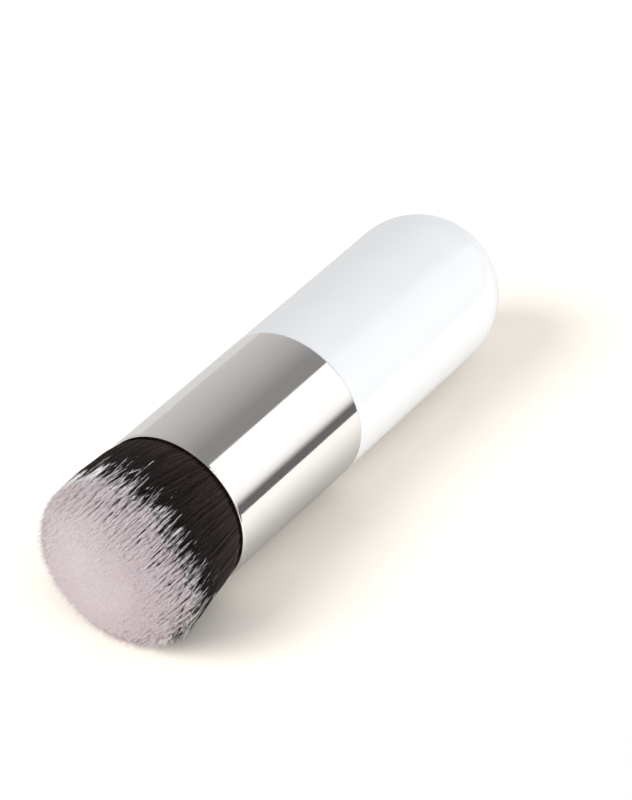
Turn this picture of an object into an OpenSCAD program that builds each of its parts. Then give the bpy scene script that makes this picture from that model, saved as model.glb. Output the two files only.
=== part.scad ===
// A foundation brush that lies on its side.
// A moulded bullet-shaped handle plugs into a drawn metal ferrule. The tuft is glued into a cup that
// is pressed into the ferrule's mouth, and it is dark at its foot and pale at its domed tip.
// The brush's axis lies along X with the bristles towards +X. The surface under the brush is z = 0,
// and the origin lies on that surface under the middle of the whole brush.

/* [Ferrule] */
// Outside diameter of the metal tube
ferrule_d = 26; // [23:0.5:32]
// Length of the metal tube
ferrule_l = 31.7; // [28:0.1:45]
// Thickness of the tube's wall
ferrule_wall = 0.4; // [0.3:0.05:0.6]
// Radius of the bead that is rolled round the mouth
lip_r = 0.3; // [0.25:0.05:0.5]

/* [Handle] */
// Length of the handle behind the ferrule, with its round end
handle_l = 49.5; // [35:0.5:90]
// How far the handle's skin lies below the ferrule's
handle_step = 0.03; // [0:0.01:0.2]
// Radius of the handle's front edge
handle_edge_r = 0.25; // [0.1:0.05:0.4]
// Length of the spigot that plugs into the ferrule
spigot_l = 12; // [9:0.5:14]
// Thickness of the spigot's wall at its front
spigot_wall = 2.4; // [1.6:0.1:3.5]
// Gap between the spigot and the ferrule, which the crush ribs fill
spigot_gap = 0.1; // [0.06:0.01:0.2]
// Length of the lead-in taper at the spigot's front
lead_l = 1.2; // [0.6:0.1:1.8]
// Depth of the lead-in taper
lead_d = 0.5; // [0.2:0.1:1]
// Draft of the moulded core on each side, over its whole length
core_draft = 0.5; // [0:0.05:1.2]

/* [Crush ribs and glue grooves] */
// Number of crush ribs round the spigot
rib_n = 8; // [4:1:12]
// Radius of the back of a crush rib
rib_r = 0.5; // [0.3:0.05:0.8]
// Width of a glue groove along the spigot
groove_w = 1.6; // [1:0.1:2]
// Depth of a glue groove
groove_d = 0.5; // [0.3:0.05:0.8]
// Distance between the two glue grooves, middle to middle
groove_pitch = 4.5; // [3:0.1:5]

/* [Bristle cup] */
// How far the cup's rim lies inside the ferrule's mouth
cup_recess = 3; // [2:0.1:5]
// Thickness of the cup's floor
cup_floor = 2; // [1.2:0.1:2.6]
// Thickness of the cup's wall beside the floor
cup_wall = 1.3; // [0.9:0.05:2]
// Thickness of the cup's wall at its rim
cup_rim_wall = 0.35; // [0.25:0.05:0.6]
// Gap between the cup and the ferrule, which the press rings fill
cup_gap = 0.1; // [0.06:0.01:0.2]
// Radius of the back of a press ring
press_ring_r = 0.5; // [0.3:0.05:0.8]
// Distance between the two press rings
press_ring_pitch = 8; // [5:0.5:10]
// Diameter of the holes in the cup's floor that the glue keys into
key_d = 3; // [2:0.25:4]
// Distance of the outer key holes from the axis
key_ring_r = 7.2; // [5:0.1:8.5]
// Number of outer key holes
key_n = 6; // [3:1:8]
// Depth of the glue under the bristles
glue_l = 6; // [4:0.1:7]

/* [Tuft] */
// How far the tuft swells out beyond the ferrule's skin
tuft_swell = 0.95; // [0.5:0.05:4]
// How far the tuft's foot lies inside the ferrule's skin, beside the bead
waist_inset = 0.15; // [-0.3:0.05:0.5]
// Distance from the ferrule's mouth to the tuft's greatest diameter
bulge_l = 14.8; // [12:0.1:24]
// Height of the dome beyond the tuft's greatest diameter
dome_l = 5.1; // [3:0.1:9]
// How far the tip leans to one side
lean_l = 1.8; // [0:0.1:3]
// Length of the dark zone beyond the ferrule's mouth
dark_l = 12.2; // [9:0.1:12.5]
// How much further the dark zone reaches on the side to which the tip leans
dark_tilt_l = 1; // [0:0.1:1.2]
// How unevenly the dark bristles end
dark_ragged_l = 0.9; // [0:0.1:1.2]
// How unevenly the pale bristles are trimmed
trim_l = 0.15; // [0:0.05:0.4]
// Thickness of the glued slice that the bristles stand on
slice_t = 1.2; // [0.8:0.1:2]
// Gap between the glued slices and the cup, and between the outer bristles and the bead
knot_gap = 0.05; // [0.02:0.01:0.12]
// Gap between the dark and the pale slice
slice_gap = 0.17; // [0.1:0.01:0.3]

/* [Hidden] */
$fn = 96;

// Radii, from the ferrule inwards
ferrule_r = ferrule_d / 2;
ferrule_bore_r = ferrule_r - ferrule_wall;
handle_r = ferrule_r - handle_step;
spigot_r = ferrule_bore_r - spigot_gap;
core_front_r = spigot_r - spigot_wall;
core_back_r = core_front_r - core_draft;
cup_r = ferrule_bore_r - cup_gap;
cup_rim_r = cup_r - cup_rim_wall;
cup_floor_r = cup_r - cup_wall;
tuft_r = ferrule_r + tuft_swell;
waist_r = ferrule_r - waist_inset;

// Places along the axis, from the ferrule's mouth, with the bristles on the positive side
ferrule_back = -ferrule_l;
handle_back = ferrule_back - handle_l;
dome_centre = handle_back + handle_r;
spigot_front = ferrule_back + spigot_l;
groove_mid = ferrule_back + spigot_l / 2;
cup_front = -cup_recess;
cup_inside = spigot_front + cup_floor;
slice_back = cup_inside + glue_l;
slice_front = slice_back + slice_t;
press_ring_mid = (spigot_front + cup_front) / 2;
groove_places = [groove_mid - groove_pitch / 2, groove_mid + groove_pitch / 2];
press_ring_places = [press_ring_mid - press_ring_pitch / 2, press_ring_mid + press_ring_pitch / 2];

// How far a cut runs past the solid that it cuts
overrun = 1;

// The tuft: how its bristles share the room
sectors = 6;
corners = 3;
pale_rings = 7;
dark_pitches = 66;
pale_root_share = 0.87;
dark_mid_share = 0.28;
dark_fill_share = 0.86;
pale_root_fill_share = 0.84;
pale_tip_fill_share = 0.74;
outer_tip_share = 0.985;
inner_tip_share = 0.972;
dark_mid_gap = 0.5;
dome_power = 1.9;
lean_power = 1.5;
trim_seed = 11;

tuft_l = bulge_l + dome_l;
knot_r = cup_bore_r(slice_back) - knot_gap;
mouth_r = ferrule_r - 2 * lip_r - knot_gap;
dark_mid = dark_l * dark_mid_share;

// Radius of the cup's tapered bore at a place along the axis
function cup_bore_r(z) =
    cup_floor_r + (cup_rim_r - cup_floor_r) * (z - cup_inside) / (cup_front - cup_inside);

// Outline of the tuft: it swells like a quarter sine wave, and a shallow dome closes it
function swell_r(z) = waist_r + (tuft_r - waist_r) * sin(90 * min(z / bulge_l, 1));
function dome_z(r) =
    bulge_l + dome_l * pow(1 - pow(min(r / tuft_r, 1), dome_power), 1 / dome_power);

// The tip leans to one side, and the underside is pressed flat enough to clear the surface
function lean_y(z) = lean_l * pow(max(z, 0) / tuft_l, lean_power);
function press_share(z) = z <= 0 ? 1 : min(1, ferrule_r / swell_r(z));
function lay_point(x, y, z) = [x > 0 ? x * press_share(z) : x, y + lean_y(z), z];

function direction(angle) = [cos(angle), sin(angle)];
function middle(cell) = (cell[0] + cell[1] + cell[2]) / 3;
function reverse(list) = [for (i = [len(list) - 1:-1:0]) list[i]];
function shrink(cell, share) = [for (p = cell) middle(cell) + share * (p - middle(cell))];

// A patch of backing with one bristle on each three-cornered cell. Points lists the corners of the
// cells first, then the corners of the bristles, level by level.
function wall_faces(low, high) = [
    for (e = [0:len(low) - 1]) let (f = (e + 1) % len(low))
    each [[low[e], high[f], low[f]], [low[e], high[e], high[f]]]
];
function cone_faces(low, tip) = [for (e = [0:len(low) - 1]) [low[e], tip, low[(e + 1) % len(low)]]];
function level_ids(first, cell, level, levels) =
    [for (e = [0:corners - 1]) first + corners * (cell * levels + level) + e];
function bristle_faces(cells, first, levels) = [
    for (c = [0:len(cells) - 1]) each concat(
        wall_faces(cells[c], level_ids(first, c, 0, levels)),
        [for (k = [1:levels - 1]) each wall_faces(
            level_ids(first, c, k - 1, levels), level_ids(first, c, k, levels))]
    )
];

// Pale bristles: rings of cells round the axis, with a side of each ring in each sector
function ring_size(ring) = sectors * ring;
function ring_first(ring) = ring == 0 ? 0 : 1 + ring_size(ring) * (ring - 1) / 2;
function ring_id(ring, i) = ring == 0 ? 0 : ring_first(ring) + i % ring_size(ring);
pale_grid = [
    [0, 0],
    for (ring = [1:pale_rings], i = [0:ring_size(ring) - 1])
        ring / pale_rings * direction(360 * i / ring_size(ring))
];
pale_cells = [
    for (ring = [1:pale_rings], side = [0:sectors - 1]) each concat(
        [for (i = [0:ring - 1]) [
            ring_id(ring, side * ring + i),
            ring_id(ring, side * ring + i + 1),
            ring_id(ring - 1, side * (ring - 1) + i)]],
        [for (i = [0:1:ring - 2]) [
            ring_id(ring, side * ring + i + 1),
            ring_id(ring - 1, side * (ring - 1) + i + 1),
            ring_id(ring - 1, side * (ring - 1) + i)]]
    )
];
pale_levels = 3;
pale_trims = rands(-trim_l, trim_l, len(pale_cells), trim_seed);
pale_root_r = pale_root_share * knot_r;
pale_mouth_r = pale_root_share * mouth_r;
pale_tip_r = outer_tip_share * tuft_r;
pale_rim = [for (i = [0:ring_size(pale_rings) - 1]) ring_id(pale_rings, i)];
pale_first = len(pale_grid);
pale_last = pale_first + corners * pale_levels * len(pale_cells);
pale_base = [for (i = [0:len(pale_rim) - 1]) pale_last + i];

// Radius that the outermost pale bristles reach as they fan out from the mouth
function fan_r(z) = pale_mouth_r + (pale_tip_r - pale_mouth_r) * z / dome_z(pale_tip_r);

function pale_corners(cell, share) = shrink([for (id = cell) pale_grid[id]], share);
function pale_bristle_points(cell, trim) = let (
    root = pale_corners(cell, pale_root_fill_share),
    tip = pale_corners(cell, pale_tip_fill_share)
) concat(
    [for (p = root) lay_point(p.x * pale_root_r, p.y * pale_root_r, slice_front)],
    [for (p = root) lay_point(p.x * pale_mouth_r, p.y * pale_mouth_r, 0)],
    [for (p = tip) lay_point(p.x * pale_tip_r, p.y * pale_tip_r, dome_z(norm(p) * pale_tip_r) + trim)]
);
pale_points = [
    for (p = pale_grid) [p.x * pale_root_r, p.y * pale_root_r, slice_front],
    for (c = [0:len(pale_cells) - 1]) each pale_bristle_points(pale_cells[c], pale_trims[c]),
    for (id = pale_rim) [pale_grid[id].x * pale_root_r, pale_grid[id].y * pale_root_r, slice_back]
];
pale_faces = concat(
    bristle_faces(pale_cells, pale_first, pale_levels),
    [for (c = [0:len(pale_cells) - 1])
        reverse(level_ids(pale_first, c, pale_levels - 1, pale_levels))],
    wall_faces(pale_base, pale_rim),
    [for (i = [1:len(pale_base) - 2]) [pale_base[0], pale_base[i], pale_base[i + 1]]]
);

// Dark bristles: one ring of cells round the pale ones, which point outwards and inwards in turn
dark_levels = 3;
dark_outer = [for (i = [0:dark_pitches - 1]) i];
dark_inner = [for (i = [0:dark_pitches - 1]) dark_pitches + i];
dark_cells = [
    for (i = [0:dark_pitches - 1]) let (next = (i + 1) % dark_pitches)
    each [[i, next, dark_pitches + i], [next, dark_pitches + next, dark_pitches + i]]
];
dark_rags = rands(-dark_ragged_l, dark_ragged_l, len(dark_cells), trim_seed + 1);
dark_root_r = pale_root_r + slice_gap;
dark_mouth_r = pale_mouth_r + slice_gap;
dark_mid_r = fan_r(dark_mid) + dark_mid_gap;
dark_first = 2 * dark_pitches;
dark_tips = dark_first + corners * dark_levels * len(dark_cells);
dark_base = dark_tips + len(dark_cells);

function dark_corner(id, inner_r, outer_r) = id < dark_pitches
    ? outer_r * direction(360 * id / dark_pitches)
    : inner_r * direction(360 * (id - dark_pitches + 1 / 2) / dark_pitches);
function dark_level(cell, inner_r, outer_r, z) = [
    for (p = shrink([for (id = cell) dark_corner(id, inner_r, outer_r)], dark_fill_share))
    lay_point(p.x, p.y, z)
];
function dark_bristle_points(cell) = concat(
    dark_level(cell, dark_root_r, knot_r, slice_front),
    dark_level(cell, dark_mouth_r, mouth_r, 0),
    dark_level(cell, dark_mid_r, swell_r(dark_mid), dark_mid)
);
function dark_tip(cell, share, rag) = let (
    centre = middle([for (id = cell) dark_corner(id, 1, 1)]),
    heading = centre / norm(centre),
    z = dark_l + dark_tilt_l * heading.y + rag,
    r = share * swell_r(z)
) lay_point(heading.x * r, heading.y * r, z);
dark_points = [
    for (z = [slice_front], id = concat(dark_outer, dark_inner))
        concat(dark_corner(id, dark_root_r, knot_r), z),
    for (cell = dark_cells) each dark_bristle_points(cell),
    for (c = [0:len(dark_cells) - 1])
        dark_tip(dark_cells[c], c % 2 == 0 ? outer_tip_share : inner_tip_share, dark_rags[c]),
    for (z = [slice_back], id = concat(dark_outer, dark_inner))
        concat(dark_corner(id, dark_root_r, knot_r), z)
];
dark_faces = concat(
    bristle_faces(dark_cells, dark_first, dark_levels),
    [for (c = [0:len(dark_cells) - 1]) each cone_faces(
        level_ids(dark_first, c, dark_levels - 1, dark_levels), dark_tips + c)],
    wall_faces([for (id = dark_outer) dark_base + id], dark_outer),
    wall_faces(reverse([for (id = dark_inner) dark_base + id]), reverse(dark_inner)),
    [for (cell = dark_cells) [for (id = cell) dark_base + id]]
);

// Where the whole brush lies
all_points = concat(pale_points, dark_points);
tip_reach = max([for (p = all_points) p.z]);
left_reach = max(ferrule_r, max([for (p = all_points) p.y]));
right_reach = min(-ferrule_r, min([for (p = all_points) p.y]));
mouth_x = -(tip_reach + handle_back) / 2;
axis_y = -(left_reach + right_reach) / 2;

// Lays a piece that stands along Z from the ferrule's mouth down on its side
module lay() {
    translate([mouth_x, axis_y, ferrule_r])
        rotate([0, 90, 0])
            children();
}

module half_disc(r, z) {
    intersection() {
        translate([0, z])
            circle(r);
        translate([0, z - r])
            square([r, 2 * r]);
    }
}

module ring(inner_r, outer_r, z, width) {
    translate([0, 0, z - width / 2])
        difference() {
            cylinder(r = outer_r, h = width);
            translate([0, 0, -overrun])
                cylinder(r = inner_r, h = width + 2 * overrun);
        }
}

// Handle: a bullet-shaped shell with a cored inside and a spigot that plugs into the ferrule
module bullet_outline() {
    translate([0, dome_centre])
        square([handle_r, ferrule_back - handle_edge_r - dome_centre]);
    translate([0, dome_centre])
        square([handle_r - handle_edge_r, ferrule_back - dome_centre]);
    translate([handle_r - handle_edge_r, ferrule_back - handle_edge_r])
        circle(handle_edge_r);
    half_disc(handle_r, dome_centre);
}

module spigot_outline() {
    polygon([
        [0, dome_centre],
        [spigot_r, dome_centre],
        [spigot_r, spigot_front - lead_l],
        [spigot_r - lead_d, spigot_front],
        [0, spigot_front]
    ]);
}

module core_outline() {
    polygon([
        [0, dome_centre],
        [core_back_r, dome_centre],
        [core_front_r, spigot_front],
        [core_front_r, spigot_front + overrun],
        [0, spigot_front + overrun]
    ]);
    half_disc(core_back_r, dome_centre);
}

module crush_ribs() {
    for (i = [0:rib_n - 1])
        rotate([0, 0, 360 * i / rib_n])
            translate([ferrule_bore_r - rib_r, 0, ferrule_back])
                cylinder(r = rib_r, h = spigot_l - lead_l);
}

module handle_shell() {
    color("whitesmoke")
        lay()
            difference() {
                union() {
                    rotate_extrude()
                        difference() {
                            union() {
                                bullet_outline();
                                spigot_outline();
                            }
                            core_outline();
                        }
                    crush_ribs();
                }
                for (z = groove_places)
                    ring(spigot_r - groove_d, ferrule_r, z, groove_w);
            }
}

// Glue that fills the two grooves of the spigot
module spigot_glue_rings() {
    color("wheat")
        lay()
            for (z = groove_places)
                ring(spigot_r - groove_d, ferrule_bore_r, z, groove_w);
}

// Ferrule: a drawn tube with a bead rolled round its mouth and a rounded back edge
module ferrule_tube() {
    color("silver")
        lay()
            rotate_extrude() {
                translate([ferrule_bore_r, ferrule_back + ferrule_wall / 2])
                    square([ferrule_wall, ferrule_l - ferrule_wall / 2 - lip_r]);
                translate([ferrule_r - ferrule_wall / 2, ferrule_back + ferrule_wall / 2])
                    circle(ferrule_wall / 2);
                translate([ferrule_r - lip_r, -lip_r])
                    circle(lip_r);
            }
}

// Places of the holes in the cup's floor, one in the middle and the others round it
module at_keys() {
    children();
    for (i = [0:key_n - 1])
        rotate([0, 0, 360 * i / key_n])
            translate([key_ring_r, 0, 0])
                children();
}

// Cup that holds the glued roots: it tapers inside and is gripped by two press rings
module bristle_cup() {
    color("dimgray")
        lay()
            difference() {
                rotate_extrude() {
                    polygon([
                        [0, spigot_front],
                        [cup_r, spigot_front],
                        [cup_r, cup_front],
                        [cup_rim_r, cup_front],
                        [cup_floor_r, cup_inside],
                        [0, cup_inside]
                    ]);
                    for (z = press_ring_places)
                        translate([ferrule_bore_r - press_ring_r, z])
                            circle(press_ring_r);
                }
                at_keys()
                    translate([0, 0, spigot_front - overrun])
                        cylinder(d = key_d, h = cup_floor + 2 * overrun);
            }
}

// Glue that fills the bottom of the cup and keys into its floor
module root_glue() {
    color("goldenrod")
        lay() {
            translate([0, 0, cup_inside])
                cylinder(r1 = cup_floor_r, r2 = cup_bore_r(slice_back), h = glue_l);
            at_keys()
                translate([0, 0, spigot_front])
                    cylinder(d = key_d, h = cup_floor + glue_l / 2);
        }
}

// Short outer bristles, which show as the dark foot of the tuft
module dark_bristles() {
    color("#2b2423")
        lay()
            polyhedron(points = dark_points, faces = dark_faces);
}

// Long inner bristles, whose trimmed ends make the pale dome
module pale_bristles() {
    color("#cdc1c4")
        lay()
            polyhedron(points = pale_points, faces = pale_faces);
}

handle_shell();
ferrule_tube();
bristle_cup();
root_glue();
spigot_glue_rings();
dark_bristles();
pale_bristles();
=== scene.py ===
# %% [markdown]
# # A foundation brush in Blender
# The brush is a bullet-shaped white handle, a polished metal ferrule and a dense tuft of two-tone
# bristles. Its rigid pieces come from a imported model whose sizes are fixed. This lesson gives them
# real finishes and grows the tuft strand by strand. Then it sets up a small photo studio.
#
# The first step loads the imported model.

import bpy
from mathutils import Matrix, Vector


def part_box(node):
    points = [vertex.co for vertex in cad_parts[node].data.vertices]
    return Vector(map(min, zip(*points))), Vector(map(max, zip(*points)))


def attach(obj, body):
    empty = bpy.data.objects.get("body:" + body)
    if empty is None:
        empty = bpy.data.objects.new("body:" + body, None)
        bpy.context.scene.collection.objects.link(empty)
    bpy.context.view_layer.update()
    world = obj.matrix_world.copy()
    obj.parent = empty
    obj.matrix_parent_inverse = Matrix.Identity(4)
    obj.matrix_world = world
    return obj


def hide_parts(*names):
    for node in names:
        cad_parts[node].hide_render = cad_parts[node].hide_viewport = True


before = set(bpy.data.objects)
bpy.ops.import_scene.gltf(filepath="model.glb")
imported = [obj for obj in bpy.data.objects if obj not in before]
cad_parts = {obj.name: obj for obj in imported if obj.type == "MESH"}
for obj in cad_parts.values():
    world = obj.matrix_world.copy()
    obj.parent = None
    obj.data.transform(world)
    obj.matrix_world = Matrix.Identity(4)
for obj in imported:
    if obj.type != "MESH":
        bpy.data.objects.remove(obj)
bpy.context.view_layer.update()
print("nodes:", ", ".join(sorted(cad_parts)))

# %% [markdown]
# Everything is in metres, with +X along the brush towards the bristles and +Z up. The ferrule is a
# tube round the brush's axis, so its own box says where the axis lies, how thick the brush is and
# where the ferrule's mouth is. A seed makes every random draw the same on each run.

# %% Units, random numbers and the brush's axis
import math

import bpy
import numpy as np
from mathutils import Matrix, Vector

MM = 0.001
random = np.random.default_rng(404)

ferrule_low, ferrule_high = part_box("ferrule_tube")
mouth_x = ferrule_high.x
axis_y = (ferrule_low.y + ferrule_high.y) / 2
axis_z = (ferrule_low.z + ferrule_high.z) / 2
ferrule_r = (ferrule_high.z - ferrule_low.z) / 2
print(f"mouth at x = {mouth_x / MM:.2f} mm, axis at y = {axis_y / MM:.2f}, z = {axis_z / MM:.2f}")
print(f"ferrule radius {ferrule_r / MM:.2f} mm")

# %% [markdown]
# Colours are written as the hex codes that a colour picker gives. A renderer counts light, so it
# needs linear numbers, and one function turns the codes into them.
#
# Materials are built from nodes. One small function adds a node, sets its options and fills its
# sockets. A socket gets a plain value, or the output of an earlier node, which makes a link.

# %% Helpers for colours and nodes
def linear(code):
    shares = [int(code[i:i + 2], 16) / 255 for i in (1, 3, 5)]
    return [s / 12.92 if s <= 0.04045 else ((s + 0.055) / 1.055) ** 2.4 for s in shares] + [1.0]


def add_node(tree, kind, sockets=None, stops=None, **options):
    node = tree.nodes.new(kind)
    for name, value in options.items():
        setattr(node, name, value)
    for name, value in (sockets or {}).items():
        if isinstance(value, bpy.types.NodeSocket):
            tree.links.new(value, node.inputs[name])
        else:
            node.inputs[name].default_value = value
    if stops:
        ramp = node.color_ramp.elements
        while len(ramp) < len(stops):
            ramp.new(1.0)
        for element, (place, colour) in zip(ramp, stops):
            element.position = place
            element.color = colour
    return node


def new_material(name):
    material = bpy.data.materials.new(name)
    material.use_nodes = True
    material.node_tree.nodes.clear()
    return material, material.node_tree


def finish_material(tree, shader):
    add_node(tree, "ShaderNodeOutputMaterial", {"Surface": shader.outputs[0]})


print("white #FFFFFF is", linear("#FFFFFF"))

# %% [markdown]
# ## Handle: gloss white ABS, injection moulded
# ABS is a hard opaque plastic. In a polished mould it comes out with a bright even skin, so the eye
# sees a soft clear reflection over a very pale, slightly cool white. Its IOR is about 1.54. The
# skin is never quite flat: it waves a few microns over some millimetres, which a weak bump gives,
# and it has a faint haze of handling marks, which varies the roughness.

# %% Handle finish
abs_white, tree = new_material("gloss white moulded ABS")
place = add_node(tree, "ShaderNodeTexCoord")
skin_wave = add_node(tree, "ShaderNodeTexNoise", {
    "Vector": place.outputs["Object"], "Scale": 1 / (6 * MM), "Detail": 2.0, "Roughness": 0.45})
haze = add_node(tree, "ShaderNodeTexNoise", {
    "Vector": place.outputs["Object"], "Scale": 1 / (2.2 * MM), "Detail": 4.0})
haze_roughness = add_node(tree, "ShaderNodeMapRange", {
    "Value": haze.outputs["Fac"], "From Min": 0.3, "From Max": 0.7, "To Min": 0.2, "To Max": 0.26})
flow_tint = add_node(tree, "ShaderNodeValToRGB", {"Fac": skin_wave.outputs["Fac"]}, stops=[
    (0.3, linear("#F4F6F8")), (0.7, linear("#F6F8FA"))])
skin_bump = add_node(tree, "ShaderNodeBump", {
    "Height": skin_wave.outputs["Fac"], "Strength": 0.06, "Distance": 0.05 * MM})
finish_material(tree, add_node(tree, "ShaderNodeBsdfPrincipled", {
    "Base Color": flow_tint.outputs["Color"], "Roughness": haze_roughness.outputs["Result"],
    "IOR": 1.54, "Normal": skin_bump.outputs["Normal"]}))
print("made", abs_white.name)

# %% [markdown]
# ## Ferrule: mirror-polished aluminium, drawn
# The tube is drawn over a mandrel and then polished. Drawing leaves very fine lines along the tube,
# and polishing leaves a mirror that blurs only a little. The real lines are some microns apart, too
# fine to show, so here they are 0.25 mm apart and hardly raised. A metal's colour is the colour of
# its reflections: aluminium is a nearly neutral grey-white. Its IOR stays at the default.

# %% Ferrule finish
aluminium, tree = new_material("mirror-polished drawn aluminium")
place = add_node(tree, "ShaderNodeTexCoord")
draw_stretch = add_node(tree, "ShaderNodeMapping", {
    "Vector": place.outputs["Object"], "Scale": (1 / (30 * MM), 1 / (0.25 * MM), 1 / (0.25 * MM))})
draw_lines = add_node(tree, "ShaderNodeTexNoise", {
    "Vector": draw_stretch.outputs["Vector"], "Scale": 1.0, "Detail": 3.0})
polish_haze = add_node(tree, "ShaderNodeTexNoise", {
    "Vector": place.outputs["Object"], "Scale": 1 / (4 * MM), "Detail": 3.0})
polish_roughness = add_node(tree, "ShaderNodeMapRange", {
    "Value": polish_haze.outputs["Fac"], "From Min": 0.3, "From Max": 0.7,
    "To Min": 0.05, "To Max": 0.075})
metal_tint = add_node(tree, "ShaderNodeValToRGB", {"Fac": polish_haze.outputs["Fac"]}, stops=[
    (0.3, linear("#F4F4F3")), (0.7, linear("#F7F6F5"))])
draw_bump = add_node(tree, "ShaderNodeBump", {
    "Height": draw_lines.outputs["Fac"], "Strength": 0.05, "Distance": 0.01 * MM})
finish_material(tree, add_node(tree, "ShaderNodeBsdfPrincipled", {
    "Base Color": metal_tint.outputs["Color"], "Metallic": 1.0,
    "Roughness": polish_roughness.outputs["Result"], "Normal": draw_bump.outputs["Normal"]}))
print("made", aluminium.name)

# %% [markdown]
# ## Cup and glue
# The cup that holds the roots is black polypropylene: waxy, with the fine spark-eroded grain of an
# unpolished mould. The glue is two-part epoxy, which cures to a clear amber with small bubbles.
# Both are hidden in the finished brush, but they show when someone takes it apart.

# %% Cup and glue finishes
cup_black, tree = new_material("matte black moulded polypropylene")
place = add_node(tree, "ShaderNodeTexCoord")
spark_grain = add_node(tree, "ShaderNodeTexNoise", {
    "Vector": place.outputs["Object"], "Scale": 1 / (0.2 * MM), "Detail": 2.0})
cup_tint = add_node(tree, "ShaderNodeValToRGB", {"Fac": spark_grain.outputs["Fac"]}, stops=[
    (0.35, linear("#26262A")), (0.65, linear("#323236"))])
grain_bump = add_node(tree, "ShaderNodeBump", {
    "Height": spark_grain.outputs["Fac"], "Strength": 0.3, "Distance": 0.02 * MM})
finish_material(tree, add_node(tree, "ShaderNodeBsdfPrincipled", {
    "Base Color": cup_tint.outputs["Color"], "Roughness": 0.55, "IOR": 1.49,
    "Normal": grain_bump.outputs["Normal"]}))

epoxy, tree = new_material("cured amber epoxy")
place = add_node(tree, "ShaderNodeTexCoord")
bubbles = add_node(tree, "ShaderNodeTexVoronoi", {
    "Vector": place.outputs["Object"], "Scale": 1 / (1.2 * MM)})
bubble_tint = add_node(tree, "ShaderNodeValToRGB", {"Fac": bubbles.outputs["Distance"]}, stops=[
    (0.1, linear("#E2C98F")), (0.45, linear("#B98A3C"))])
bubble_bump = add_node(tree, "ShaderNodeBump", {
    "Height": bubbles.outputs["Distance"], "Strength": 0.2, "Distance": 0.05 * MM})
finish_material(tree, add_node(tree, "ShaderNodeBsdfPrincipled", {
    "Base Color": bubble_tint.outputs["Color"], "Roughness": 0.2, "IOR": 1.55,
    "Transmission Weight": 0.15, "Normal": bubble_bump.outputs["Normal"]}))
print("made", cup_black.name, "and", epoxy.name)

# %% [markdown]
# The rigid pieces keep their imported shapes, and only their surfaces change. Each one takes its new
# finish in its own material slot.

# %% Give the rigid pieces their finishes
rigid_finishes = {
    "handle_shell": abs_white, "ferrule_tube": aluminium, "bristle_cup": cup_black,
    "root_glue": epoxy, "spigot_glue_rings": epoxy}
for name, material in rigid_finishes.items():
    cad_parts[name].material_slots[0].material = material
    print(name, "is now", material.name)

# %% [markdown]
# ## Bristles: PBT filament, dyed dark at the foot
# Soft brushes use tapered filaments of PBT, a polyester. The tuft is dyed twice: brown-black at the
# foot and a pale pinkish grey at the tip. Each filament changes colour at its own height, and this
# gives the ragged edge where pale streaks run into the dark.
#
# The colour is painted along each strand with a UV map. U runs along the strand, so one ramp over U
# is the whole dye. U = 0.5 is the place where the dark ends, and 40 mm of strand fill the map. V is
# a number of the strand's own, and it makes each strand a little lighter or darker. Along U the same
# noise paints glints: lighter and darker dashes every few millimetres, where a filament catches the
# light. From the side the eye sees whole strands, which differ much in tone. On the dome it sees
# many ends at once, and they look nearly alike.
#
# PBT has an IOR of about 1.57 and a silky shine, so the roughness is in the middle. In a dense tuft
# the strands shade one another's reflections, so the specular level is low.

# %% Bristle finish
UV_LENGTH = 40 * MM
DARK_END = 0.5
GLINT_L = 2.5 * MM
STRAND_TONES = 45
SIDE_TONES = (0.62, 1.15)
DOME_TONES = (0.9, 1.03)


def dyed_filament(name, dye, tones):
    material, tree = new_material(name)
    along = add_node(tree, "ShaderNodeUVMap", uv_map="OFBake")
    parts = add_node(tree, "ShaderNodeSeparateXYZ", {"Vector": along.outputs["UV"]})
    colour = add_node(tree, "ShaderNodeValToRGB", {"Fac": parts.outputs["X"]}, stops=dye)
    stretched = add_node(tree, "ShaderNodeVectorMath", {
        0: along.outputs["UV"], 1: (UV_LENGTH / GLINT_L, STRAND_TONES, 0)}, operation="MULTIPLY")
    # Stretched along U, this noise paints glints along each strand; across V it gives each strand
    # its own tone.
    strand = add_node(tree, "ShaderNodeTexNoise", {
        "Vector": stretched.outputs["Vector"], "Scale": 1.0, "Detail": 1.0}, noise_dimensions="2D")
    shade = add_node(tree, "ShaderNodeMapRange", {
        "Value": strand.outputs["Fac"], "From Min": 0.25, "From Max": 0.75,
        "To Min": tones[0], "To Max": tones[1]})
    shaded = add_node(tree, "ShaderNodeVectorMath", {
        0: colour.outputs["Color"], 1: shade.outputs["Result"]}, operation="MULTIPLY")
    finish_material(tree, add_node(tree, "ShaderNodeBsdfPrincipled", {
        "Base Color": shaded.outputs["Vector"], "Roughness": 0.45, "IOR": 1.57,
        "Specular IOR Level": 0.22}))
    return material


def along_strand(distance):
    return DARK_END + distance / UV_LENGTH


dark_foot = [
    (along_strand(-13 * MM), linear("#382B28")),
    (along_strand(-9.5 * MM), linear("#271C1B")),
    (along_strand(-3 * MM), linear("#201614")),
    (along_strand(-0.2 * MM), linear("#17100F"))]
# Painted highlight: past the dark end the side strands' pale is near white, whiter than the same
# filament on the dome. The pale is dye, and its extra whiteness paints the highlights on the
# streaks.
bright_tip_and_painted_highlight = [
    (along_strand(0.25 * MM), linear("#F4F0F0")),
    (along_strand(1.5 * MM), linear("#FDF9F9")),
    (along_strand(4.5 * MM), linear("#E2D6D9"))]
# Painted shade: the pale pinkish grey is the dye, and it gets lighter the further a tip is past the
# dark end. Where the dark ends earlier the dome is painted lighter, and this gives it a lighter
# side.
pale_tip_and_painted_shade = [
    (along_strand(0.25 * MM), linear("#E3D9DC")),
    (along_strand(2.5 * MM), linear("#DFD3D6")),
    (along_strand(5.0 * MM), linear("#E3D9DB")),
    (along_strand(7.5 * MM), linear("#E6DBDE"))]
side_filament = dyed_filament(
    "PBT filament dyed dark at the foot", dark_foot + bright_tip_and_painted_highlight, SIDE_TONES)
dome_filament = dyed_filament("PBT filament with pale tips", dark_foot + pale_tip_and_painted_shade, DOME_TONES)
print("made", side_filament.name, "and", dome_filament.name)

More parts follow.
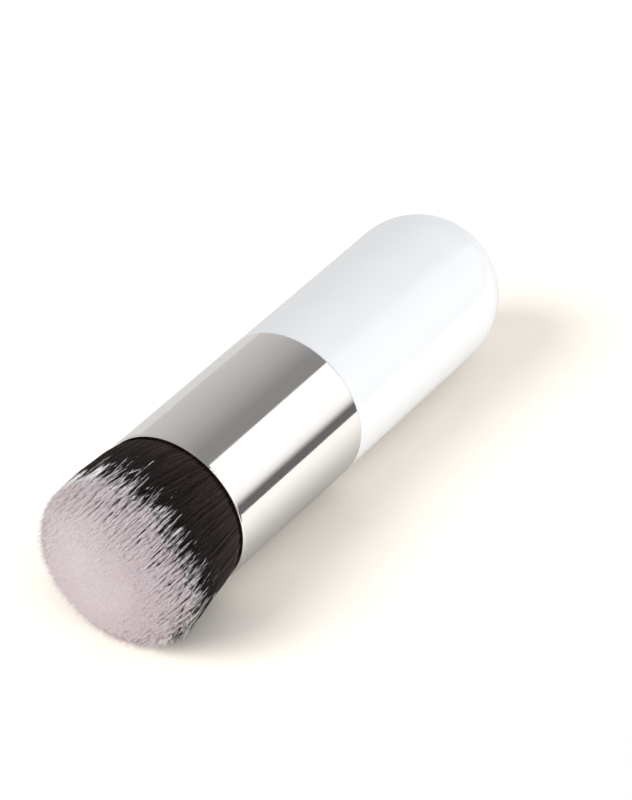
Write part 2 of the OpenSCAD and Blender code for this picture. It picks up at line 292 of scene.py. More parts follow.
# %% [markdown]
# ## The tuft's outline
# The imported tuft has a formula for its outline, and the strands follow the same one. It swells out
# of the ferrule like a quarter of a sine wave and closes with a shallow dome. It leans a little to
# one side, and its underside is pressed flat enough to clear the surface it lies on.
#
# A strand's place is given by its height z beyond the ferrule's mouth, its share of the outline's
# radius there, and its angle round the axis. Angle 0 points to +Y and 90 degrees points up.

# %% Outline of the tuft
MOUTH_R = ferrule_r - 0.65 * MM
WAIST_R = ferrule_r - 0.15 * MM
TUFT_R = ferrule_r + 0.95 * MM
BULGE_L = 14.8 * MM
DOME_L = 5.1 * MM
LEAN_L = 1.8 * MM
TUFT_L = BULGE_L + DOME_L
DOME_POWER = 1.9
LEAN_POWER = 1.5
LIP_CLEARANCE_L = 1.8 * MM


def smooth(value):
    value = np.clip(value, 0, 1)
    return value * value * (3 - 2 * value)


def swell_r(z):
    swell = WAIST_R + (TUFT_R - WAIST_R) * np.sin(np.pi / 2 * np.clip(z / BULGE_L, 0, 1))
    return MOUTH_R + (swell - MOUTH_R) * smooth(z / LIP_CLEARANCE_L)


def dome_z(share):
    return BULGE_L + DOME_L * (1 - np.clip(share, 0, 1) ** DOME_POWER) ** (1 / DOME_POWER)


def tuft_point(z, r, angle):
    side, height = r * np.cos(angle), r * np.sin(angle)
    press = np.minimum(1, ferrule_r / np.maximum(swell_r(z), ferrule_r))
    height = np.where(height < 0, height * press, height)
    side = side + LEAN_L * (np.clip(z, 0, None) / TUFT_L) ** LEAN_POWER
    return np.stack([mouth_x + z, axis_y + side, axis_z + height], -1)


tip = tuft_point(dome_z(np.zeros(1)), np.zeros(1), np.zeros(1))[0]
print(f"the dome's top is {(tip[0] - mouth_x) / MM:.1f} mm beyond the mouth")

# %% [markdown]
# ## Where the dark ends
# On the real tuft the dark zone is longer on one side than on the other, and its edge rises and
# falls in slow waves. It is ragged in two more ways: each strand has its own height, and strands
# that stuck together in the dye bath form small clumps. Each slow wave is given by how many times
# it goes round the tuft, its height in mm and the angle at which it peaks. One narrow dip is added
# where the pale zone comes furthest back, and six random quick waves stand for the clumps.

# %% Height of the dark zone
DARK_L = 14.9 * MM
SLOW_WAVES = [(1, 1.6, -40), (2, 0.91, 16), (3, 0.60, 47), (4, 0.46, -39), (6, 0.56, -29)]
DIP_L = 2.5 * MM
DIP_ANGLE = math.radians(152)
DIP_POWER = 12
CLUMP_L = 0.3 * MM
CLUMP_WAVES = 6
clump_waves = random.uniform(20, 75, CLUMP_WAVES).round()
clump_phases = random.uniform(0, 2 * np.pi, CLUMP_WAVES)


def dark_end(angle):
    slow = sum(height * np.cos(n * (angle - math.radians(peak))) for n, height, peak in SLOW_WAVES)
    clumps = sum(np.sin(n * angle + p) for n, p in zip(clump_waves, clump_phases))
    dip = DIP_L * np.clip(np.cos(angle - DIP_ANGLE), 0, 1) ** DIP_POWER
    return DARK_L + slow * MM - dip + CLUMP_L * clumps / 2


compass = {"side": 0.0, "top": np.pi / 2, "other side": np.pi}
for side_name, angle in compass.items():
    dark_l = dark_end(np.array(angle))
    print(f"the dark ends {dark_l / MM:.1f} mm beyond the mouth at the {side_name}")

# %% [markdown]
# The edge isn't equally ragged all round. Where the dark zone is long, dark streaks run far into
# the pale dome. On the other side the edge is clean.
#
# Bristles stick together in small patches, so a whole patch is short and dark, and its neighbours
# are long and pale. Random choices strand by strand would only give grey noise. A sum of waves in
# random directions over the tuft's cross-section gives such patches. The waves are 0.4 to 0.8 mm
# long, a few bristles wide, and they are stretched along one line, so that they read as streaks.
#
# In a dark patch the dye ends late. The last function says how late: hardly at all in a pale patch,
# and more and more as a patch gets darker.

# %% Raggedness and patches
RAGGED_ANGLE = math.radians(27)
RAGGED_CHANGE = 0.75
LEAST_RAGGED = 0.15
PATCH_WAVES = 24
PATCH_LINE = math.radians(53)
PATCH_STRETCH = 10.0
LATE_RISE = 1.7
patch_l = random.uniform(0.4, 0.8, PATCH_WAVES) * MM
patch_turn = random.uniform(0, 2 * np.pi, PATCH_WAVES)
patch_phase = random.uniform(0, 2 * np.pi, PATCH_WAVES)


def raggedness(angle):
    ragged_side = smooth(0.5 + RAGGED_CHANGE * np.cos(angle - RAGGED_ANGLE))
    return LEAST_RAGGED + (1 - LEAST_RAGGED) * ragged_side


def patchy(share, angle):
    along = share * TUFT_R * np.cos(angle - PATCH_LINE) / PATCH_STRETCH
    across = share * TUFT_R * np.sin(angle - PATCH_LINE)
    waves = [np.sin(2 * np.pi / length * (along * math.cos(turn) + across * math.sin(turn)) + phase)
             for length, turn, phase in zip(patch_l, patch_turn, patch_phase)]
    return sum(waves) * math.sqrt(2 / PATCH_WAVES)


def lateness(patch):
    return np.log1p(np.exp(LATE_RISE * patch))


print("raggedness at the side and the other side:", raggedness(np.array([0, np.pi])).round(2))

# %% [markdown]
# ## Growing strands
# Hair in Blender could be a hair system, but the tuft has to be a plain mesh that other programs
# can read. So each strand is a thin closed tube with three sides. It has a row of centre points,
# and three corners stand round each of them. The bristles all run nearly along X, so the corners
# can lie in the plane across X, and no turning frames are needed. No corner may lie below the
# surface that the brush lies on.
#
# The function makes all the strands of a piece at once, with arrays: rings of corners, side faces
# between the rings, and a cap at each end. In the UV map each strand is a narrow band along U.

# %% Strands as a mesh
CORNERS = 3
STRAND_V = 0.004


def strand_mesh(name, centres, radii, dye_u):
    strands, rings = radii.shape
    turn = random.uniform(0, 2 * np.pi, (strands, 1, 1)) + 2 * np.pi / CORNERS * np.arange(CORNERS)
    across = np.stack([np.zeros_like(turn), np.cos(turn), np.sin(turn)], -1)
    points = centres[:, :, None, :] + radii[:, :, None, None] * across
    points[..., 2] = np.maximum(points[..., 2], 0)
    ids = np.arange(strands * rings * CORNERS).reshape(strands, rings, CORNERS)
    low, high = ids[:, :-1], ids[:, 1:]
    low_next, high_next = np.roll(low, -1, 2), np.roll(high, -1, 2)
    faces = np.concatenate([
        np.stack([low, low_next, high_next], -1).reshape(-1, 3),
        np.stack([low, high_next, high], -1).reshape(-1, 3),
        ids[:, 0, ::-1], ids[:, -1]])
    strand_v = random.uniform(0, 1 - STRAND_V, (strands, 1, 1))
    v = strand_v + STRAND_V * np.arange(CORNERS) / (CORNERS - 1)
    uv = np.stack(np.broadcast_arrays(dye_u[:, :, None], v), -1)
    return triangles_to_object(name, points.reshape(-1, 3), faces, uv.reshape(-1, 2))


def triangles_to_object(name, points, faces, uv):
    mesh = bpy.data.meshes.new(name)
    mesh.vertices.add(len(points))
    mesh.vertices.foreach_set("co", points.astype(np.float32).ravel())
    mesh.loops.add(3 * len(faces))
    mesh.loops.foreach_set("vertex_index", faces.astype(np.int32).ravel())
    mesh.polygons.add(len(faces))
    mesh.polygons.foreach_set("loop_start", np.arange(0, 3 * len(faces), 3, dtype=np.int32))
    mesh.polygons.foreach_set("use_smooth", np.ones(len(faces), bool))
    layer = mesh.uv_layers.new(name="OFBake")
    layer.data.foreach_set("uv", uv[faces.ravel()].astype(np.float32).ravel())
    mesh.update(calc_edges=True)
    mesh.validate()
    piece = bpy.data.objects.new(name, mesh)
    bpy.context.scene.collection.objects.link(piece)
    print(f"{name}: {len(faces)} faces")
    return piece


# %% [markdown]
# One mesh with all the strands would be too large for some programs, so each kind of strand is cut
# into four quarters round the axis.

# %% Quarters round the axis
def quarters(angle):
    quarter = np.floor(angle / (np.pi / 2)).astype(int) % 4
    return [quarter == q for q in range(4)]


full_turn = np.linspace(0, 2 * np.pi, 100, endpoint=False)
print("of 100 places round the axis:", [int(part.sum()) for part in quarters(full_turn)])

# %% [markdown]
# ## Side strands
# The outer tenth of the tuft's radius is what shows from the side. These strands start inside the
# ferrule, bend out round its rolled lip, and end on the shoulder of the dome. On top of the tuft
# they are also swept a little sideways. A real filament is about 0.08 mm thick, and these strands
# are a little thicker, 0.08 to 0.13 mm, so that fewer of them close the tuft.
#
# Bristles cling in small locks. The strands of a lock share its lean and nearly share the height
# where their dark ends, and they close up towards its tip. Each lock takes its value from the
# patches, read at the place of its tip: a high value makes it short and dark to the end, and a low
# one makes it long and pale-tipped. Between the pale tips the eye sees the dark ones, and this
# gives the sharp streaks at the edge of the dark zone.

# %% Places and lengths of the side locks
LOCKS = 6900
LOCK_STRANDS = 2
LOCK_R = 0.09 * MM
CORE_SHARE = 0.9
INNER_SHARE = CORE_SHARE + 0.01
LEAN_SPREAD = 0.013
WILD_SHARE = 0.08
WILD_LEAN = 5.0
SWEEP = 0.2
SWEEP_ANGLE = math.radians(75)
SIDE_PATCH = 1.15
SIDE_NOISE = 0.1
UNEVEN_L = 0.6 * MM
PATCH_SHORT_L = 1.9 * MM
MOST_SHORT = 1.5
PROUD_L = 0.15 * MM

lock_share = random.uniform(INNER_SHARE, 1.0, LOCKS)
lock_angle = random.uniform(0, 2 * np.pi, LOCKS)
lock_lean = random.normal(0, LEAN_SPREAD, LOCKS)
lock_lean[random.random(LOCKS) < WILD_SHARE] *= WILD_LEAN
lock_splay = random.uniform(0.1, 0.7, LOCKS) * MM
lock_sweep = SWEEP * np.clip(np.cos(lock_angle - SWEEP_ANGLE), 0, 1) ** 2
patch = SIDE_PATCH * patchy(lock_share, lock_angle + lock_sweep + lock_lean)
patch = patch + SIDE_NOISE * random.normal(0, 1, LOCKS)
ragged = raggedness(lock_angle)
lock_short = random.exponential(UNEVEN_L, LOCKS)
lock_short = lock_short + PATCH_SHORT_L * ragged * np.clip(patch, 0, MOST_SHORT)
lock_end = dome_z(lock_share) + PROUD_L - lock_short
print(f"{LOCKS} locks of {LOCK_STRANDS} strands")

# %% [markdown]
# Now each lock gets the height where its dark ends. The edge of the dark zone moves up and down a
# little with the patches. A lock is pale-tipped if its value is below a limit, which is higher deep
# in the tuft and on the clean side. Such a lock keeps at least a short pale end. The others stay
# dark further out, most of all where they stand deep in the tuft. That deep dark is partly dye and
# partly painted shade: it paints the shade in the gaps between the locks.

# %% Dye of the side locks
EDGE_PATCH_L = 1.3 * MM
DEEP_DARK_AND_SHADE_L = 5.0 * MM
SIDE_LATE_L = 1.4 * MM
DEEP_LIMIT, RIM_LIMIT = 0.4, -0.4
CLEAN_SIDE_PALE = 1.5
PATCH_PALE = 0.8
MOST_PALE = 2

edge_z = dark_end(lock_angle) + EDGE_PATCH_L * patch
# Painted shade in part: locks deeper in the tuft stay dark further out.
deep_dark_and_shade = ragged * DEEP_DARK_AND_SHADE_L * (1 - lock_share) / (1 - CORE_SHARE)
pale_limit = np.interp(lock_share, [INNER_SHARE, 1.0], [DEEP_LIMIT, RIM_LIMIT])
pale_limit = pale_limit + CLEAN_SIDE_PALE * (1 - ragged)
pale_tipped = patch < pale_limit
least_pale = random.uniform(0.3, 0.8, LOCKS)
lock_pale_l = (least_pale + PATCH_PALE * np.clip(-patch, 0, MOST_PALE)) * MM
pale_from = np.minimum(edge_z, lock_end - lock_pale_l)
dark_to = edge_z + deep_dark_and_shade + ragged * SIDE_LATE_L * lateness(patch)
lock_dark = np.where(pale_tipped, pale_from, dark_to)
print(f"{int(pale_tipped.sum())} of them have pale tips")

# %% [markdown]
# Each strand then grows from its lock. A few strands keep apart from theirs, and a few were dyed
# less far than the rest. The strands draw in a little at first and splay out towards their tips,
# where they also get thinner.

# %% Grow the side strands
side_heights = np.array([-1.5, 0.2, 1.2, 3.5, 7.5, 12.0, 99.0]) * MM
APART_SHARE = 0.15
APART_CLOSING = 0.1
LOCK_CLOSING = 0.85
OWN_SHORT_L = 0.35 * MM
OWN_LEAN = 0.006
OWN_DARK_L = 0.45 * MM
EARLY_SHARE = 0.05
EARLY_L = 1.5 * MM
THIN_R, THICK_R = 0.042 * MM, 0.064 * MM
DRAWN_IN = 0.6
TAPER_PLACES = [0, 0.5, 0.85, 1.0]
TAPER_SHARES = [1.0, 0.97, 0.85, 0.4]

of_lock = np.repeat(np.arange(LOCKS), LOCK_STRANDS)
side_count = len(of_lock)
side_end = lock_end[of_lock] - random.exponential(OWN_SHORT_L, side_count)
z = np.minimum(side_heights[None, :], side_end[:, None])
travel = np.clip(z / side_end[:, None], 0, 1)
keeps_apart = random.random((side_count, 1)) < APART_SHARE
closing = 1 - np.where(keeps_apart, APART_CLOSING, LOCK_CLOSING) * travel
spread = LOCK_R * np.sqrt(random.random((side_count, 1)))
spread_turn = random.uniform(0, 2 * np.pi, (side_count, 1))
own_lean = random.normal(0, OWN_LEAN, (side_count, 1))
side_angle = (lock_angle[of_lock, None] + lock_sweep[of_lock, None] * travel
              + (lock_lean[of_lock, None] + own_lean) * travel ** 2
              + spread * np.cos(spread_turn) * closing / TUFT_R)
side_share = lock_share[of_lock, None] + spread * np.sin(spread_turn) * closing / TUFT_R
flare = travel ** 4 - DRAWN_IN * travel ** 2
side_r = np.minimum(side_share, 1) * swell_r(z) + lock_splay[of_lock, None] * flare

taper = np.interp(z / side_end[:, None], TAPER_PLACES, TAPER_SHARES)
side_radii = random.uniform(THIN_R, THICK_R, (side_count, 1)) * taper
own_dark = lock_dark[of_lock] + random.normal(0, OWN_DARK_L, side_count)
early = random.random(side_count) < EARLY_SHARE
own_dark[early] -= random.exponential(EARLY_L, early.sum())
side_u = along_strand(z - own_dark[:, None])
side_centres = tuft_point(z, side_r, side_angle)
side_pieces = []
for number, part in enumerate(quarters(lock_angle[of_lock]), 1):
    side_pieces.append(strand_mesh(
        f"side_bristles_{number}", side_centres[part], side_radii[part], side_u[part]))
print(f"dark ends {own_dark.min() / MM:.1f} to {own_dark.max() / MM:.1f} mm out")

# %% [markdown]
# Single hairs stand out from the rest. A few cross the dark zone with their pale ends. Many more,
# as fine as a filament's tapered tip, stick out round the dome and make the silhouette fuzzy. A
# quarter of these are set on the clean side, where they cover no dark streaks. The rest stand all
# round.

# %% Stray hairs
STRAYS = 420
STRAY_R = 0.052 * MM
STRAY_LONGER_L = 0.3 * MM
STRAY_OUT_L = 0.2 * MM
STRAY_TURN = 0.09
STRAY_DARK_L = -2.2 * MM
STRAY_DARK_SPREAD_L = 2.0 * MM

stray_angle = random.uniform(0, 2 * np.pi, STRAYS)
stray_share = random.uniform(0.97, 1.0, STRAYS)
stray_end = dome_z(stray_share) + random.exponential(STRAY_LONGER_L, STRAYS)
z = np.minimum(side_heights[None, :], stray_end[:, None])
travel = smooth(np.clip(z / stray_end[:, None], 0, 1))
stray_out = random.exponential(STRAY_OUT_L, (STRAYS, 1)) * travel ** 3
stray_turn = random.normal(0, STRAY_TURN, (STRAYS, 1)) * travel
stray_centres = tuft_point(z, stray_share[:, None] * swell_r(z) + stray_out,
                           stray_angle[:, None] + stray_turn)
stray_radii = STRAY_R * np.interp(z / stray_end[:, None], [0, 0.6, 1.0], [1.0, 0.9, 0.3])
stray_dark = random.normal(STRAY_DARK_L, STRAY_DARK_SPREAD_L, (STRAYS, 1))
stray_u = along_strand(z - dark_end(stray_angle)[:, None] - stray_dark)
strays = strand_mesh("stray_bristles", stray_centres, stray_radii, stray_u)

# %% Fuzz round the dome
FUZZ = 2000
FUZZ_RIM = 0.04
CLEAN_SIDE_SPREAD = 0.8
FUZZ_TURN_L = 0.3 * MM
FUZZ_THIN_R, FUZZ_THICK_R = 0.022 * MM, 0.036 * MM
ROOT_INWARD = 0.015
CLEAN_SIDE_EARLY_L = 3 * MM
fuzz_levels = np.array([-3.0, -1.0, 0.0, 1.0])
fuzz_taper = np.array([1.0, 1.0, 0.9, 0.35])

fuzz_share = np.clip(1 - random.exponential(FUZZ_RIM, FUZZ), 0.3, 1.0)
fuzz_angle = random.uniform(0, 2 * np.pi, FUZZ)
fuzz_angle[::4] = random.normal(RAGGED_ANGLE + np.pi, CLEAN_SIDE_SPREAD, FUZZ // 4)
fuzz_l = random.uniform(0.2, 1.0, (FUZZ, 1)) * MM
outside = np.clip(fuzz_levels[None, :], 0, 1)
rise = np.where(fuzz_levels < 0, fuzz_levels * MM, fuzz_l * fuzz_levels)
z = dome_z(fuzz_share)[:, None] + rise
fuzz_out = fuzz_share[:, None] * random.uniform(0.2, 1.0, (FUZZ, 1)) * fuzz_l * outside
root_r = fuzz_share[:, None] * TUFT_R * (1 + ROOT_INWARD * np.minimum(fuzz_levels, 0))
fuzz_turn = random.normal(0, FUZZ_TURN_L, (FUZZ, 1)) * outside / TUFT_R
fuzz_centres = tuft_point(z, root_r + fuzz_out, fuzz_angle[:, None] + fuzz_turn)
fuzz_radii = random.uniform(FUZZ_THIN_R, FUZZ_THICK_R, (FUZZ, 1)) * fuzz_taper
fuzz_dark = dark_end(fuzz_angle) - CLEAN_SIDE_EARLY_L * (1 - raggedness(fuzz_angle))
fuzz_u = along_strand(z - fuzz_dark[:, None])
fuzz = strand_mesh("fuzz_bristles", fuzz_centres, fuzz_radii, fuzz_u)

# %% [markdown]
# ## Dome strands
# The dome is the trimmed, tapered ends of all the other bristles. Only their last few millimetres
# can be seen, so these strands are short. A sunflower pattern spreads their locks evenly over the
# disc: each lock turns by the golden angle and lies a little further out. In the middle the locks
# stand tight and straight, so the dome is smooth. Towards the rim on the ragged side they are
# looser, their tips lie at uneven heights, and the patches that reach over from the side strands
# leave some of them dark to the end.

# %% Locks of dome strands
DOME_LOCKS = 18000
DOME_LOCK_STRANDS = 2
DOME_LOCK_R = 0.09 * MM
DOME_SHARE = 0.955
GOLDEN_ANGLE = np.pi * (3 - math.sqrt(5))
DOME_PATCH = 1.2
DOME_NOISE = 0.3
SUNFLOWER_NOISE = 0.004
DOME_UNEVEN_L = 0.5 * MM
DOME_PATCH_SHORT_L = 1.3 * MM
DOME_LEAN_L = 0.09 * MM
CLEAN_SIDE_LOOSE = 0.2

number = np.arange(DOME_LOCKS)
share = DOME_SHARE * np.sqrt((number + 0.5) / DOME_LOCKS)
angle = number * GOLDEN_ANGLE + random.normal(0, SUNFLOWER_NOISE, DOME_LOCKS)
patch = DOME_PATCH * patchy(share, angle) + DOME_NOISE * random.normal(0, 1, DOME_LOCKS)
ragged = raggedness(angle)
loose = np.interp(share, [0.3, 0.6, 0.9], [0.05, 0.4, 1.0])
loose = loose * (CLEAN_SIDE_LOOSE + (1 - CLEAN_SIDE_LOOSE) * ragged)
lock_short = random.exponential(DOME_UNEVEN_L, DOME_LOCKS)
lock_short = lock_short + DOME_PATCH_SHORT_L * loose * np.clip(patch, 0, MOST_SHORT)
lock_short = lock_short * loose
lock_lean = random.normal(0, DOME_LEAN_L, (DOME_LOCKS, 1, 2)) * loose[:, None, None]
print(f"{DOME_LOCKS} locks over the dome")

# %% [markdown]
# In the middle of the dome all the tips are pale. Only where the locks are loose may a dark patch
# stay dark to the end.

# %% Dye of the dome locks
WAVY_SHARE = 0.6
MIDDLE_PALE = 3.8
LOOSE_DARK = 3.6

dome_late_l = np.interp(share, [0.4, 0.65, 0.9], [0.5, 1.3, 2.4]) * MM * ragged
lock_dark = DARK_L + (dark_end(angle) - DARK_L) * smooth(share / WAVY_SHARE)
lock_dark = lock_dark + dome_late_l * lateness(patch)
pale_tipped = patch < MIDDLE_PALE - LOOSE_DARK * loose ** 2
lock_pale_l = random.uniform(0.6, 3.0, DOME_LOCKS) * MM
pale_from = np.minimum(lock_dark, dome_z(share) - lock_short - lock_pale_l)
lock_dark = np.where(pale_tipped, pale_from, lock_dark)
print(f"{int(pale_tipped.sum())} of them have pale tips")

# %% Grow the dome strands
DOME_DEPTH = 4.0 * MM
DOME_OWN_SHORT_L = 0.15 * MM
DOME_CLOSING = 0.7
DOME_THIN_R, DOME_THICK_R = 0.05 * MM, 0.066 * MM
DOME_OWN_DARK_L = 0.3 * MM
DOME_LEAN_POWER = 1.5
dome_levels = np.array([-1.0, -0.4, 0.0])

of_lock = np.repeat(np.arange(DOME_LOCKS), DOME_LOCK_STRANDS)
dome_count = len(of_lock)
own_short = random.exponential(DOME_OWN_SHORT_L, dome_count) * loose[of_lock]
z = dome_z(share)[of_lock, None] - lock_short[of_lock, None] - own_short[:, None]
z = z + DOME_DEPTH * dome_levels
lock_centres = tuft_point(dome_z(share), share * TUFT_R, angle)
dome_centres = np.repeat(lock_centres[of_lock, None], len(dome_levels), axis=1)
dome_centres[..., 0] = mouth_x + z
to_tip = 1 + dome_levels[None, :, None]
spread = DOME_LOCK_R * np.sqrt(random.random((dome_count, 1, 1)))
spread_turn = random.uniform(0, 2 * np.pi, (dome_count, 1, 1))
across = np.concatenate([np.cos(spread_turn), np.sin(spread_turn)], -1)
closing = 1 - DOME_CLOSING * loose[of_lock, None, None] * to_tip
dome_centres[..., 1:] += spread * across * closing + lock_lean[of_lock] * to_tip ** DOME_LEAN_POWER
tip_taper = np.interp(loose[of_lock, None], [0, 0.5], [0.85, 0.45])
taper = np.concatenate(
    [np.full_like(tip_taper, 1.0), np.full_like(tip_taper, 0.97), tip_taper], 1)
dome_radii = random.uniform(DOME_THIN_R, DOME_THICK_R, (dome_count, 1)) * taper
own_dark = lock_dark[of_lock] + random.normal(0, DOME_OWN_DARK_L, dome_count)
dome_u = along_strand(z - own_dark[:, None])

dome_pieces = []
for number, part in enumerate(quarters(angle[of_lock]), 1):
    dome_pieces.append(strand_mesh(
        f"dome_bristles_{number}", dome_centres[part], dome_radii[part], dome_u[part]))

# %% [markdown]
# ## Core of the tuft
# Below what can be seen, the bristles are packed so densely that no light comes through. A smooth
# solid in the middle of the tuft stands for that mass, a little inside the visible strands. It is a
# turned form: a profile of shares and heights is swept round the axis through the same outline
# formula. Its rows of quads are cut into triangles, and a fan of triangles closes each end.

# %% Profile of the core
CORE_SEGMENTS = 96
CORE_ROWS = 9
CORE_START_Z = -1.5 * MM
CORE_SIDE_Z = 13.6 * MM
CORE_DOME_SHARE = 0.86
CORE_DEPTH = 2.4 * MM
CORE_TONE = 0.5
TONE_WANDER = 0.05

core_dome = np.linspace(CORE_DOME_SHARE, 0.0, CORE_ROWS)
core_shares = np.concatenate([[0.0], np.full(CORE_ROWS, CORE_SHARE), core_dome])
core_z = np.concatenate([
    [CORE_START_Z], np.linspace(CORE_START_Z, CORE_SIDE_Z, CORE_ROWS),
    dome_z(core_dome) - CORE_DEPTH])
turn = 2 * np.pi * np.arange(CORE_SEGMENTS) / CORE_SEGMENTS
ring_z = np.repeat(core_z[1:-1, None], CORE_SEGMENTS, 1)
ring_r = core_shares[1:-1, None] * swell_r(ring_z)
ring_points = tuft_point(ring_z, ring_r, turn[None, :]).reshape(-1, 3)
ends = tuft_point(core_z[[0, -1]], np.zeros(2), np.zeros(2))
core_points = np.concatenate([ring_points, ends])

# Painted shade in part: the core stays dark further out by the same deep amount.
core_dark_and_shade_end = dark_end(turn) + DEEP_DARK_AND_SHADE_L * raggedness(turn)
ring_u = along_strand(ring_z - core_dark_and_shade_end[None, :]).ravel()
core_u = np.concatenate([ring_u, along_strand(core_z[[0, -1]] - DARK_L)])
core_v = CORE_TONE + TONE_WANDER * np.sin(7 * np.arange(len(core_points)))
core_uv = np.stack([core_u, core_v], -1)
print(f"the core has {len(core_points)} points")

# %% Faces of the core
rings = len(core_z) - 2
ids = np.arange(rings * CORE_SEGMENTS).reshape(rings, CORE_SEGMENTS)
low, high = ids[:-1], ids[1:]
low_next, high_next = np.roll(low, -1, 1), np.roll(high, -1, 1)
back = np.full(CORE_SEGMENTS, len(ring_points))
front = back + 1
core_faces = np.concatenate([
    np.stack([low, low_next, high_next], -1).reshape(-1, 3),
    np.stack([low, high_next, high], -1).reshape(-1, 3),
    np.stack([back, np.roll(ids[0], -1), ids[0]], -1),
    np.stack([front, ids[-1], np.roll(ids[-1], -1)], -1)])
core = triangles_to_object("packed_bristles", core_points, core_faces, core_uv)

# %% [markdown]
# Each new piece rides on the brush's one body and takes its filament finish. The strands stand for
# the packed bristles, which are then not shown.

# %% Join the tuft to the brush
for pieces, filament, slot_name, packed_name in [
        (side_pieces + [strays], side_filament, "dark_fibre", "dark_bristles"),
        (dome_pieces + [fuzz, core], dome_filament, "pale_fibre", "pale_bristles")]:
    for piece in pieces:
        piece.data.materials.append(filament)
        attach(piece, "root")
        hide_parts(packed_name)
        print(piece.name, "stands for", packed_name)

# %% [markdown]
# ## The studio
# The floor is a sheet of warm white paper. Where the light is full it is as white as the
# background, and where the brush takes some of the light away its warm tone shows. The sheet ends
# beyond the brush on one side, and the polished ferrule shows that end as a thin dark line. For the
# metal the paper has a painted reflection: a ray that comes from a reflection meets a paper painted
# darker than the eye sees it beside the brush, which gets brighter from one side to the other.

# %% Floor
MIRRORED_HALF_WIDTH = 80 * MM
FLOOR_HALF = 1.2
FLOOR_END_Y = 74 * MM

paper, tree = new_material("warm white paper")
place = add_node(tree, "ShaderNodeTexCoord")
fibres = add_node(tree, "ShaderNodeTexNoise", {
    "Vector": place.outputs["Object"], "Scale": 1 / (8 * MM), "Detail": 3.0})
paper_tint = add_node(tree, "ShaderNodeValToRGB", {"Fac": fibres.outputs["Fac"]}, stops=[
    (0.3, linear("#F5EEE4")), (0.7, linear("#F7F0E7"))])
paper_parts = add_node(tree, "ShaderNodeSeparateXYZ", {"Vector": place.outputs["Object"]})
paper_side = add_node(tree, "ShaderNodeMapRange", {
    "Value": paper_parts.outputs["Y"],
    "From Min": -MIRRORED_HALF_WIDTH, "From Max": MIRRORED_HALF_WIDTH})
# Painted reflection: the paper that the metal mirrors is painted darker, graded from one side to the
# other.
painted_reflection_level = add_node(tree, "ShaderNodeValToRGB", {"Fac": paper_side.outputs["Result"]}, stops=[
    (0.15, linear("#C3C7CD")), (0.45, linear("#D2D5DA")), (0.55, linear("#D0D2D5")),
    (0.65, linear("#E0E2E5")), (0.75, linear("#ECEEF2"))])
painted_reflection_tint = add_node(tree, "ShaderNodeVectorMath", {
    0: paper_tint.outputs["Color"], 1: painted_reflection_level.outputs["Color"]}, operation="MULTIPLY")
ray = add_node(tree, "ShaderNodeLightPath")
plain_paper = add_node(tree, "ShaderNodeBsdfDiffuse", {"Color": paper_tint.outputs["Color"]})
painted_reflection_paper = add_node(tree, "ShaderNodeBsdfDiffuse", {"Color": painted_reflection_tint.outputs["Vector"]})
finish_material(tree, add_node(tree, "ShaderNodeMixShader", {
    0: ray.outputs["Is Glossy Ray"], 1: plain_paper.outputs[0], 2: painted_reflection_paper.outputs[0]}))

corners = [(-FLOOR_HALF, -FLOOR_HALF, 0), (FLOOR_HALF, -FLOOR_HALF, 0),
           (FLOOR_HALF, FLOOR_END_Y, 0), (-FLOOR_HALF, FLOOR_END_Y, 0)]
floor_mesh = bpy.data.meshes.new("floor")
floor_mesh.from_pydata(corners, [], [(0, 1, 2, 3)])
floor = bpy.data.objects.new("floor", floor_mesh)
floor.data.materials.append(paper)
bpy.context.scene.collection.objects.link(floor)
print("the floor ends", round(FLOOR_END_Y / MM), "mm from the middle of the brush")

# %% [markdown]
# The world is the room round the brush. The camera sees it as plain white. For the light on the
# brush it is a soft sky, brighter on one side. In the polished metal it shows what stands round a
# product table: a white softbox, a dark gap under it, and a grey wall on the other side. These
# bands run along the brush, so they are drawn by the angle round the X axis. Each band is an angle
# in degrees and a level of light, and a level may be above 1. The sky is tinted a little cool, and
# what the metal mirrors a little warm.

# %% World
world = bpy.data.worlds.new("studio")
bpy.context.scene.world = world
world.use_nodes = True
tree = world.node_tree
tree.nodes.clear()

MIRRORED_BANDS = [
    (-180, 0.66), (-150, 0.75), (-60, 0.8), (-13, 0.145), (-3.2, 0.145), (0.5, 0.47), (5.3, 0.88),
    (10, 1.02), (16, 1.15), (65.0, 1.15), (65.4, 0.26), (87, 0.27), (112, 0.4), (141, 0.51),
    (165, 0.56), (180, 0.6)]
SKY_BANDS = [
    (-20, 0.92), (30, 1.3), (60, 1.07), (95, 0.7), (120, 0.87), (150, 0.72), (180, 0.58)]
WARM = (1.0, 0.975, 0.96)
COOL = (0.975, 0.985, 1.0)


def band_stops(bands, tint):
    return [((degrees + 180) / 360, [share * level for share in tint] + [1.0])
            for degrees, level in bands]


direction = add_node(tree, "ShaderNodeTexCoord")
parts = add_node(tree, "ShaderNodeSeparateXYZ", {"Vector": direction.outputs["Generated"]})
angle_node = add_node(tree, "ShaderNodeMath", {
    0: parts.outputs["Z"], 1: parts.outputs["Y"]}, operation="ARCTAN2")
turn_share = add_node(tree, "ShaderNodeMapRange", {
    "Value": angle_node.outputs["Value"], "From Min": -math.pi, "From Max": math.pi})
bands = add_node(tree, "ShaderNodeValToRGB", {"Fac": turn_share.outputs["Result"]},
                 stops=band_stops(MIRRORED_BANDS, WARM))
sky_round = add_node(tree, "ShaderNodeValToRGB", {"Fac": turn_share.outputs["Result"]},
                     stops=band_stops(SKY_BANDS, COOL))
ray = add_node(tree, "ShaderNodeLightPath")
sky = add_node(tree, "ShaderNodeBackground", {"Color": sky_round.outputs["Color"]})
mirrored = add_node(tree, "ShaderNodeBackground", {"Color": bands.outputs["Color"]})
white = add_node(tree, "ShaderNodeBackground", {"Color": linear("#FFFFFF"), "Strength": 1.0})
lit = add_node(tree, "ShaderNodeMixShader", {
    0: ray.outputs["Is Glossy Ray"], 1: sky.outputs[0], 2: mirrored.outputs[0]})
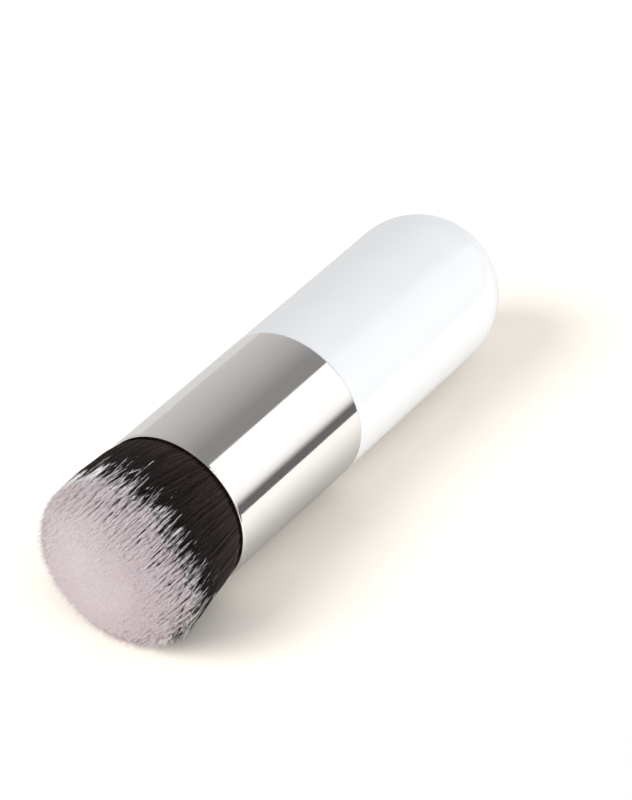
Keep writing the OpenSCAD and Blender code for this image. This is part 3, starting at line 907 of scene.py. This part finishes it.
seen = add_node(tree, "ShaderNodeMixShader", {
    0: ray.outputs["Is Camera Ray"], 1: lit.outputs[0], 2: white.outputs[0]})
add_node(tree, "ShaderNodeOutputWorld", {"Surface": seen.outputs[0]})
print("the world has", len(bands.color_ramp.elements), "bands")

# %% [markdown]
# One lamp gives the shadow. It is a sun, so its light is even over the whole floor, and it looks as
# wide as a large softbox, so the shadow's edge is soft. Light linking keeps it off the brush, which
# the sky lights well enough.

# %% Lamp for the shadow
def soft_sun(name, energy, width, towards_lamp, lit_pieces):
    lamp_data = bpy.data.lights.new(name, "SUN")
    lamp_data.energy = energy
    lamp_data.angle = width
    lamp = bpy.data.objects.new(name, lamp_data)
    bpy.context.scene.collection.objects.link(lamp)
    lamp.rotation_mode = "QUATERNION"
    lamp.rotation_quaternion = Vector(towards_lamp).to_track_quat("Z", "Y")
    lit = bpy.data.collections.new("lit_by_" + name)
    for piece in lit_pieces:
        lit.objects.link(piece)
    lamp.light_linking.receiver_collection = lit


soft_sun("shadow_lamp", 2.95, math.radians(46), (0.83, -0.49, 0.68), [floor])

# %% [markdown]
# A second soft lamp stands in front of the brush and lights the tuft alone, from the side that the
# photograph shows as the brighter one.

# %% Lamp for the tuft
tuft_pieces = side_pieces + dome_pieces + [strays, fuzz, core]
soft_sun("tuft_lamp", 1.75, math.radians(50), (0.78, -0.28, 0.56), tuft_pieces)

# %% [markdown]
# ## The camera
# It looks down on the brush from the front, over the tuft. A long lens far away flattens the view
# as in the photograph. The three directions are the camera's right, its up and where it looks.

# %% Camera
CAMERA_AT = (0.406365, 0.274388, 0.370942)

camera_data = bpy.data.cameras.new("camera")
camera_data.sensor_width = 36
camera_data.lens = 177.7
camera = bpy.data.objects.new("camera", camera_data)
bpy.context.scene.collection.objects.link(camera)
right = Vector((-0.55325, 0.83302, 0.0))
up = Vector((-0.48911, -0.32484, 0.80946))
looks = Vector((-0.67431, -0.44784, -0.58717))
place_in_room = Matrix((right, up, -looks)).transposed().to_4x4()
place_in_room.translation = CAMERA_AT
camera.matrix_world = place_in_room
camera_data.clip_start = 0.01
bpy.context.scene.camera = camera
bpy.context.scene.view_settings.view_transform = "Standard"
print("the camera is", round(camera.location.length / MM), "mm from the brush")
